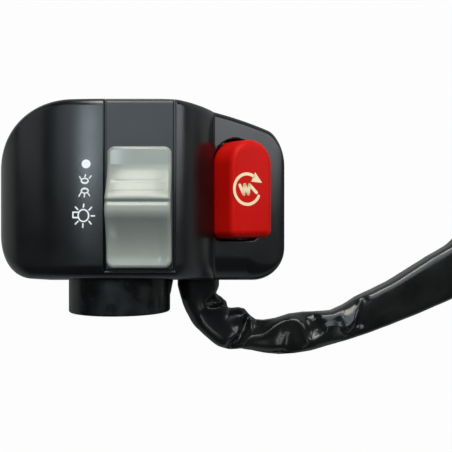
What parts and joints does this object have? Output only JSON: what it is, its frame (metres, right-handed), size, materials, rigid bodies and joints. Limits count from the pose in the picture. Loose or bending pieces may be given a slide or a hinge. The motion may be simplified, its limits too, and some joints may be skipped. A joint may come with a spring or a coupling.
{
  "type": "handlebar switch cluster",
  "caption": "Clamshell handlebar switch housing with a sliding light switch, a sprung start push button on a tilted pod, a bar collar and a sleeved lead.",
  "frame": {"origin": "on the handlebar's axis, in the plane where the two shells part, near the housing's mid length", "axes": "+Y along the handlebar towards the grip, +Z out of the switch face, +X across the bar towards the start pod"},
  "size_m": [0.1908, 0.0799, 0.048],
  "materials": {
    "shell_black": "satin black moulding",
    "collar_black": "smooth black moulding",
    "track_black": "satin black moulding",
    "knob_grey": "glossy warm grey moulding",
    "button_red": "semi-gloss red moulding",
    "carrier_nylon": "natural nylon",
    "base_resin": "moulded resin board",
    "contact_brass": "bright",
    "insert_brass": "knurled",
    "spring_steel": "drawn",
    "screw_steel": "zinc plated",
    "wire_red": "vinyl insulation",
    "lead_rubber": "moulded rubber",
    "lead_vinyl": "glossy soft vinyl sleeve",
    "connector_nylon": "natural nylon"
  },
  "bodies": {
    "housing": {"front_shell": "shell_black", "rear_shell": "shell_black", "bar_collar": "collar_black", "track_plate": "track_black", "detent_leaf": "spring_steel", "light_base": "base_resin", "light_contacts": "contact_brass", "light_base_screws": "screw_steel", "start_spring": "spring_steel", "start_base": "base_resin", "start_contacts": "contact_brass", "start_base_screws": "screw_steel", "housing_screws": "screw_steel", "screw_inserts": "insert_brass", "inner_wires": "wire_red", "lead_grommet": "lead_rubber", "lead_clamp": "spring_steel", "lead_clamp_screws": "screw_steel", "lead_sleeve": "lead_vinyl", "lead_boot": "lead_rubber", "connector_body": "connector_nylon", "connector_terminals": "contact_brass"},
    "slider": {"slider_knob": "knob_grey", "slider_carrier": "carrier_nylon", "knob_screw": "screw_steel", "contact_bridge": "contact_brass"},
    "button": {"start_button": "button_red", "stem_clip": "spring_steel", "start_bridge": "contact_brass"}
  },
  "joints": [
    {"name": "light_slide", "type": "slide", "parent": "housing", "child": "slider", "axis": [0, 1, 0], "range_m": [0, 0.0096], "deforming": ["detent_leaf"]},
    {"name": "start_press", "type": "slide", "parent": "housing", "child": "button", "axis": [-0.515, 0, -0.8572], "range_m": [0, 0.0028], "stiffness_N_per_m": 800, "springref_m": -0.002, "deforming": ["start_spring"]}
  ]
}
